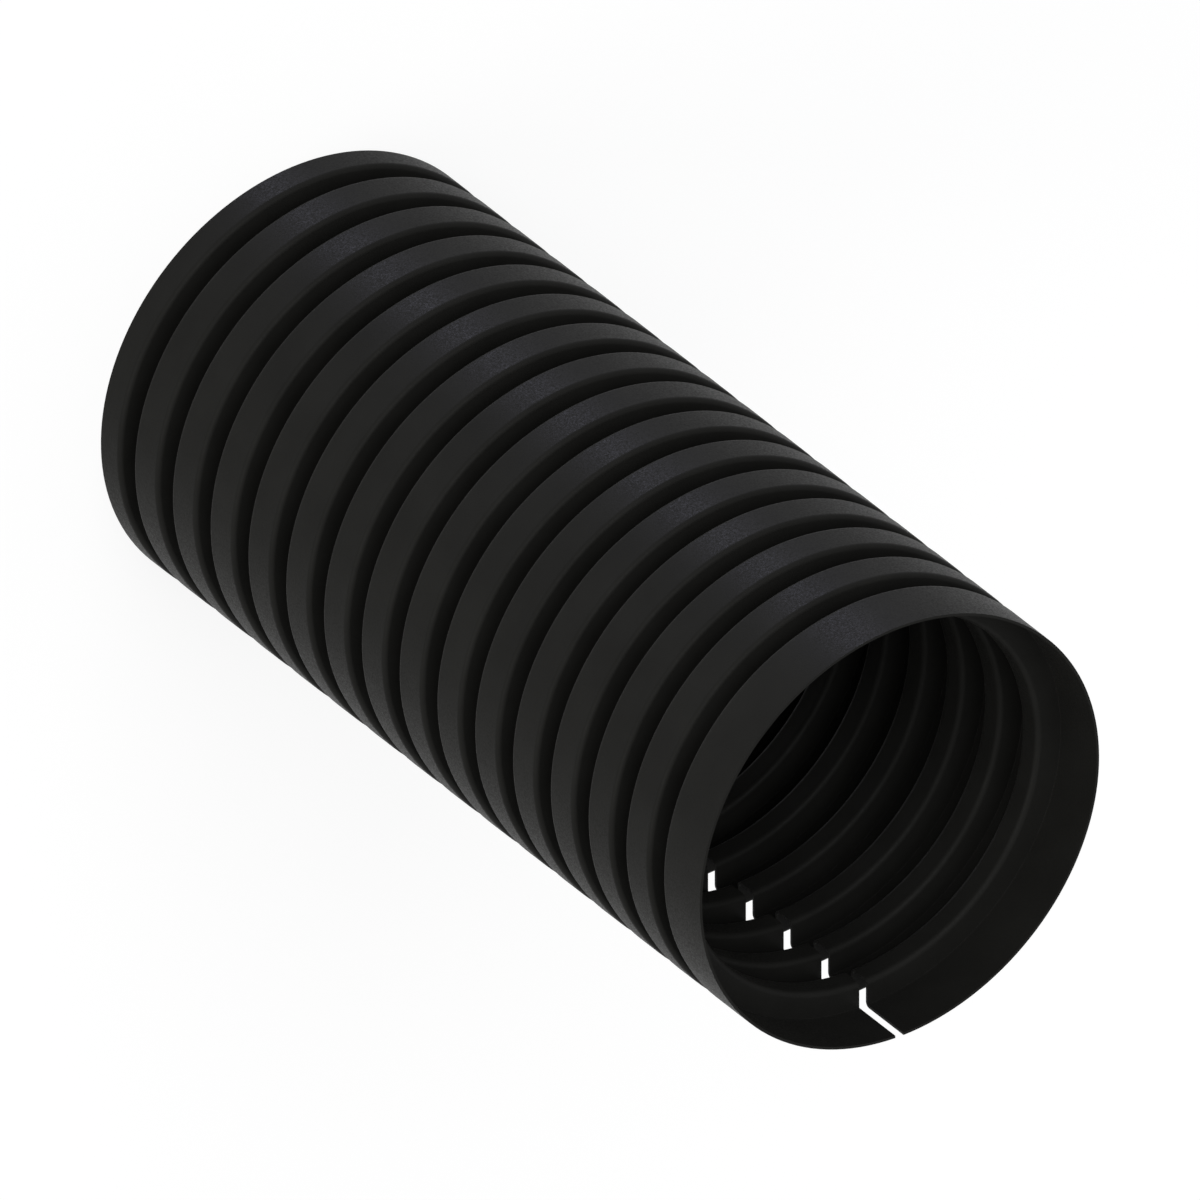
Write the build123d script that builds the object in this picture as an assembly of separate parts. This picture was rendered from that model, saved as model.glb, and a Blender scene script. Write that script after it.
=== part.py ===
from build123d import *
import os

# Slit corrugated conduit: a cut length of split convoluted loom tube, standing on end.
#
# The tube is one thin plastic wall. It is waved into flat crests and narrow square-sided grooves, and
# a straight slit opens it from end to end, so that cables can be laid in from the side.
#
# Frame, in millimetres: +Z runs up the tube, from the cut end that it stands on to its plain cuff.
# The slit faces +Y, and the origin is on the floor, on the tube's axis.

# Sizes of the wave. Where nothing else is said, they are of the outside of the wall.
bore_diameter = 51.0  # the clear way for cables, across the insides of the grooves
wall = 0.35
wave_depth = 3.5  # from the top of a crest down to the bottom of a groove
pitch = 8.0  # from the middle of one groove to the middle of the next
groove_width = 2.8  # between the two flanks of a groove
crest_rounding = 0.65  # radius of a crest's shoulders
root_rounding = 0.4  # radius of the corners in the bottom of a groove
inner_shoulder = 0.05  # radius of the almost sharp corner inside the wall, behind a shoulder

# Sizes of this piece, which is cut from a longer tube.
groove_count = 15
plain_foot = 5.39  # from the end that it stands on to the middle of the lowest groove
plain_cuff = 9.38  # from the middle of the highest groove to the top
slit_width = 1.2

# Sizes that follow from the ones above.
root_radius = bore_diameter / 2 + wall
crest_radius = root_radius + wave_depth
length = plain_foot + (groove_count - 1) * pitch + plain_cuff


def wave_line(inset, shoulder):
    """One side of the wall from foot to top, as a line drawn in radius and height.

    An inset of 0 gives the outside of the tube, and an inset of the wall's thickness its inside. The
    corners in the bottom of a groove share their centres, so the wall keeps its thickness round them.
    Behind a shoulder it is a little thinner, because the inside turns more sharply than the outside.
    """
    half_width = groove_width / 2 + inset
    crest = crest_radius - inset
    root = root_radius - inset
    corner = root_rounding + inset

    points = [(crest, 0)]
    roundings = []
    for i in range(groove_count):
        middle = plain_foot + i * pitch
        points += [
            (crest, middle - half_width),
            (root, middle - half_width),
            (root, middle + half_width),
            (crest, middle + half_width),
        ]
        roundings += [shoulder, corner, corner, shoulder]
    points += [(crest, length)]
    return FilletPolyline(*points, radius=roundings)


def wall_section():
    """The cut face of the wall, between its outer and inner lines and the two cut ends."""
    outside = wave_line(0, crest_rounding)
    inside = wave_line(wall, inner_shoulder)
    cut_ends = [Line(outside @ end, inside @ end) for end in (0, 1)]
    return make_face([outside, inside, *cut_ends])


def waved_tube():
    """The tube before it is slit, turned once round from a section that stands where the slit will be."""
    return revolve(Plane.YZ * wall_section(), Axis.Z, 360)


def slit_blade():
    """The space that the slit takes: from the axis out through one side, and past both ends."""
    margin = wave_depth
    blade = Box(
        slit_width,
        crest_radius + margin,
        length + 2 * margin,
        align=(Align.CENTER, Align.MIN, Align.CENTER),
    )
    return Pos(0, 0, length / 2) * blade


conduit = waved_tube() - slit_blade()

os.makedirs("parts", exist_ok=True)
export_step(conduit, "parts/conduit.step")
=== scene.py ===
from math import asin, cos, pi, radians, sin, tau

import bpy
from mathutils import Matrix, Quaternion, Vector


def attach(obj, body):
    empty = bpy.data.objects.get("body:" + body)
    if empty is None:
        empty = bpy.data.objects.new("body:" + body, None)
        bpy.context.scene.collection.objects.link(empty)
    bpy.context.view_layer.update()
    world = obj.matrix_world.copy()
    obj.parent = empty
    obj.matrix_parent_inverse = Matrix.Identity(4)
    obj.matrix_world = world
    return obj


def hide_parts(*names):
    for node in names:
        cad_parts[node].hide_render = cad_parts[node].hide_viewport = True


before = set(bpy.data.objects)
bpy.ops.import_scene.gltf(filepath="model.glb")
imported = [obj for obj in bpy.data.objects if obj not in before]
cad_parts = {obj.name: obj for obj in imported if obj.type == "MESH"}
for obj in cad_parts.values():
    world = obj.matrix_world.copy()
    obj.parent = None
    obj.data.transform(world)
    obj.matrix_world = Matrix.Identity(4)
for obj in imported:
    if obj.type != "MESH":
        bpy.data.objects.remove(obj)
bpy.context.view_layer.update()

# Slit corrugated conduit, standing on its foot end with the plain cuff up and the slit towards +Y.

# Sizes in metres, the same as the solid's.
bore_diameter = 0.051
wall = 0.00035
wave_depth = 0.0035
pitch = 0.008
groove_width = 0.0028
crest_rounding = 0.00065
root_rounding = 0.0004
inner_shoulder = 0.00005
groove_count = 15
plain_foot = 0.00539
plain_cuff = 0.00938
slit_width = 0.0012

root_radius = bore_diameter / 2 + wall
crest_radius = root_radius + wave_depth
length = plain_foot + (groove_count - 1) * pitch + plain_cuff

# How finely the turned wall is divided, round the axis and round each small corner.
columns = 144
corner_steps = 4

# The photograph's view, in degrees and metres. It is a parallel projection that looks down on the cuff,
# and the picture is turned, so that the tube's top points down to the right.
view_azimuth = 41.885
view_elevation = 43.877
view_turn = 127.70
view_width = 0.14486
view_distance = 0.6

floor_width = 6.0


def corner(r, z, radius, first, last, hollow):
    """Points on a quarter turn about a centre, each with the direction that the surface faces."""
    facing = -1 if hollow else 1
    points = []
    for step in range(corner_steps + 1):
        a = radians(first + (last - first) * step / corner_steps)
        points.append((r + radius * cos(a), z + radius * sin(a), facing * cos(a), facing * sin(a)))
    return points


def wave_line(inset, shoulder):
    """One side of the wall from foot to top: each point's radius and height, and the way it faces.

    An inset of 0 gives the outside of the tube, and an inset of the wall's thickness its inside, there
    facing into the wall. The corners in the bottom of a groove share their centres on both sides.
    """
    crest = crest_radius - inset
    shoulder_r = crest - shoulder
    root_r = root_radius + root_rounding
    root = root_rounding + inset

    line = [(crest, 0, 1, 0)]
    for i in range(groove_count):
        low = plain_foot + i * pitch - groove_width / 2
        high = low + groove_width
        line += corner(shoulder_r, low - inset - shoulder, shoulder, 0, 90, False)
        line += corner(root_r, low + root_rounding, root, 270, 180, True)
        line += corner(root_r, high - root_rounding, root, 180, 90, True)
        line += corner(shoulder_r, high + inset + shoulder, shoulder, -90, 0, False)
    line.append((crest, length, 1, 0))
    return line


def round_the_axis(r, z, facing_r, facing_z):
    """A point's places and facings from one lip of the slit, all the way round, to the other lip."""
    lip = asin(slit_width / 2 / r)
    places, facings = [], []
    for j in range(columns + 1):
        a = pi / 2 + lip + (tau - 2 * lip) * j / columns
        places.append(Vector((r * cos(a), r * sin(a), z)))
        facings.append(Vector((facing_r * cos(a), facing_r * sin(a), facing_z)))
    return places, facings


def wall_mesh():
    """The whole wall as one closed mesh, smooth round its corners and crisp at its cut edges."""
    outside = wave_line(0, crest_rounding)
    inside = [(r, z, -facing_r, -facing_z) for r, z, facing_r, facing_z in wave_line(wall, inner_shoulder)]
    section = outside + inside[::-1]
    turned = [round_the_axis(*point) for point in section]
    count, top, foot = len(section), len(outside) - 1, len(section) - 1

    def number(i, j):
        return i * (columns + 1) + j

    faces, normals = [], []
    cut_ends = {top: Vector((0, 0, 1)), foot: Vector((0, 0, -1))}
    for i in range(count):
        k = (i + 1) % count
        for j in range(columns):
            corners = ((i, j), (i, j + 1), (k, j + 1), (k, j))
            faces.append([number(*c) for c in corners])
            normals += [cut_ends.get(i) or turned[a][1][b] for a, b in corners]
    for i in range(top):
        strip = (i, i + 1, foot - 1 - i, foot - i)
        faces.append([number(a, 0) for a in strip])
        normals += [Vector((1, 0, 0))] * 4
        faces.append([number(a, columns) for a in reversed(strip)])
        normals += [Vector((-1, 0, 0))] * 4

    mesh = bpy.data.meshes.new("wall")
    mesh.from_pydata([place for places, _ in turned for place in places], [], faces)
    mesh.shade_smooth()
    mesh.normals_split_custom_set(normals)
    return mesh


def node(tree, kind, links=(), **settings):
    """Adds a shader node. A setting with a capital is an input's value, and any other is a property.

    Each link is a pair: another node's output, and the name or number of this node's input.
    """
    new = tree.nodes.new(kind)
    for name, value in settings.items():
        if name[0].isupper():
            new.inputs[name.replace("_", " ")].default_value = value
        else:
            setattr(new, name, value)
    for output, name in links:
        tree.links.new(output, new.inputs[name])
    return new


def black_plastic():
    """Extruded black plastic, near-black and matt.

    A faint mottle runs through its colour. Its fine grain is in the gloss and only slightly in the
    surface, so it shows as a speckle in the highlight and hardly anywhere else.
    """
    material = bpy.data.materials.new("black_plastic")
    material.use_nodes = True
    tree = material.node_tree
    surface = tree.nodes["Principled BSDF"]
    surface.inputs["Specular IOR Level"].default_value = 0.038
    place = tree.nodes.new("ShaderNodeTexCoord").outputs["Object"]

    mottle = node(tree, "ShaderNodeTexNoise", [(place, "Vector")], Scale=140.0, Detail=3.0)
    tone = node(tree, "ShaderNodeValToRGB", [(mottle.outputs["Fac"], "Fac")])
    dark, pale = tone.color_ramp.elements
    dark.position = 0.3
    dark.color = (0.0125, 0.0124, 0.0115, 1)
    pale.position = 0.7
    pale.color = (0.0151, 0.0150, 0.0139, 1)
    tree.links.new(tone.outputs["Color"], surface.inputs["Base Color"])

    grain = node(tree, "ShaderNodeTexNoise", [(place, "Vector")], Scale=4000.0, Detail=2.0)
    height = grain.outputs["Fac"]
    bump = node(tree, "ShaderNodeBump", [(height, "Height")], Strength=0.35, Distance=0.00004)
    tree.links.new(bump.outputs["Normal"], surface.inputs["Normal"])
    limits = {"From_Min": 0.3, "From_Max": 0.7, "To_Min": 0.32, "To_Max": 0.58}
    gloss = node(tree, "ShaderNodeMapRange", [(height, "Value")], **limits)
    tree.links.new(gloss.outputs["Result"], surface.inputs["Roughness"])
    return material


def by_ray(tree, lighting, shown):
    """Joins how a thing lights others and how it shows itself, directly or in gloss or glass."""
    path = tree.nodes.new("ShaderNodeLightPath")
    seen = path.outputs["Is Camera Ray"]
    for ray in ("Is Glossy Ray", "Is Transmission Ray"):
        either = node(tree, "ShaderNodeMath", [(seen, 0), (path.outputs[ray], 1)], operation="MAXIMUM")
        seen = either.outputs[0]
    return node(tree, "ShaderNodeMixShader", [(seen, 0), (lighting.outputs[0], 1), (shown.outputs[0], 2)])


def studio_world():
    """A white surround that lights the object softly."""
    world = bpy.data.worlds.new("studio")
    world.use_nodes = True
    tree = world.node_tree
    tree.nodes.clear()
    light = node(tree, "ShaderNodeBackground", Color=(0.97, 0.98, 1.0, 1), Strength=0.38)
    white = node(tree, "ShaderNodeBackground", Color=(1, 1, 1, 1), Strength=1.0)
    surround = by_ray(tree, light, white)
    node(tree, "ShaderNodeOutputWorld", [(surround.outputs[0], "Surface")])
    bpy.context.scene.world = world


def floor_paint():
    """Pale paint. It shows as white where the light falls on it, and a little darker in a shadow."""
    material = bpy.data.materials.new("floor")
    material.use_nodes = True
    tree = material.node_tree
    tree.nodes.clear()
    paint = node(tree, "ShaderNodeBsdfDiffuse", Color=(0.8, 0.8, 0.8, 1))
    shade = node(tree, "ShaderNodeBsdfDiffuse", Color=(0.26, 0.26, 0.26, 1))
    glow = node(tree, "ShaderNodeEmission", Color=(0.82, 0.82, 0.82, 1), Strength=1.0)
    white = node(tree, "ShaderNodeAddShader", [(shade.outputs[0], 0), (glow.outputs[0], 1)])
    surface = by_ray(tree, paint, white)
    node(tree, "ShaderNodeOutputMaterial", [(surface.outputs[0], "Surface")])
    return material


def wide_floor():
    """A flat square floor, centred under the tube."""
    half = floor_width / 2
    corners = [(-half, -half, 0), (half, -half, 0), (half, half, 0), (-half, half, 0)]
    mesh = bpy.data.meshes.new("floor")
    mesh.from_pydata(corners, [], [(0, 1, 2, 3)])
    mesh.materials.append(floor_paint())
    floor = bpy.data.objects.new("floor", mesh)
    bpy.context.scene.collection.objects.link(floor)


def direction(azimuth, elevation):
    """Towards a place at an azimuth and elevation in degrees. Azimuth 0 is at -Y, and 90 at +X."""
    a, e = radians(azimuth), radians(elevation)
    return Vector((sin(a) * cos(e), -cos(a) * cos(e), sin(e)))


def soft_sun(name, azimuth, elevation, strength, spread, color=(1, 1, 1)):
    """Even light from one side, as wide in the sky as its spread in degrees."""
    light = bpy.data.lights.new(name, "SUN")
    light.energy = strength
    light.angle = radians(spread)
    light.color = color
    lamp = bpy.data.objects.new(name, light)
    lamp.rotation_euler = direction(azimuth, elevation).to_track_quat("Z", "Y").to_euler()
    bpy.context.scene.collection.objects.link(lamp)
    return lamp


def studio_lights(tube):
    """Soft light from high in front and from the +X side, and two weak lamps from under the floor.

    Only the tube stands in the way of those two, as on a light table. One draws the cool streak along
    the crests, and the other lightens the inside of the tube.
    """
    warm, cool = (1.0, 0.98, 0.93), (0.76, 0.76, 1.0)
    soft_sun("key", azimuth=24, elevation=48, strength=1.2, spread=50)
    soft_sun("side", azimuth=90, elevation=18, strength=1.0, spread=40, color=warm)
    streak = soft_sun("streak", azimuth=-21, elevation=-44, strength=0.72, spread=10, color=cool)
    bore = soft_sun("bore", azimuth=42, elevation=-80, strength=0.4, spread=20)

    in_the_way = bpy.data.collections.new("in_the_way")
    in_the_way.objects.link(tube)
    for lamp in (streak, bore):
        lamp.light_linking.blocker_collection = in_the_way


def camera():
    """The photograph's camera, aimed at the middle of the tube."""
    data = bpy.data.cameras.new("camera")
    data.type = "ORTHO"
    data.ortho_scale = view_width
    data.clip_start = 0.01
    data.clip_end = 10
    back = direction(view_azimuth, view_elevation)
    upright = back.to_track_quat("Z", "Y")
    holder = bpy.data.objects.new("camera", data)
    holder.location = Vector((0, 0, length / 2)) + view_distance * back
    holder.rotation_mode = "QUATERNION"
    holder.rotation_quaternion = upright @ Quaternion((0, 0, 1), radians(view_turn))
    bpy.context.scene.collection.objects.link(holder)
    bpy.context.scene.camera = holder


conduit = bpy.data.objects.new("conduit_wall", wall_mesh())
conduit.data.materials.append(black_plastic())
bpy.context.scene.collection.objects.link(conduit)
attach(conduit, "root")
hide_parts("conduit")

wide_floor()
studio_world()
studio_lights(conduit)
camera()
bpy.context.scene.view_settings.view_transform = "Standard"
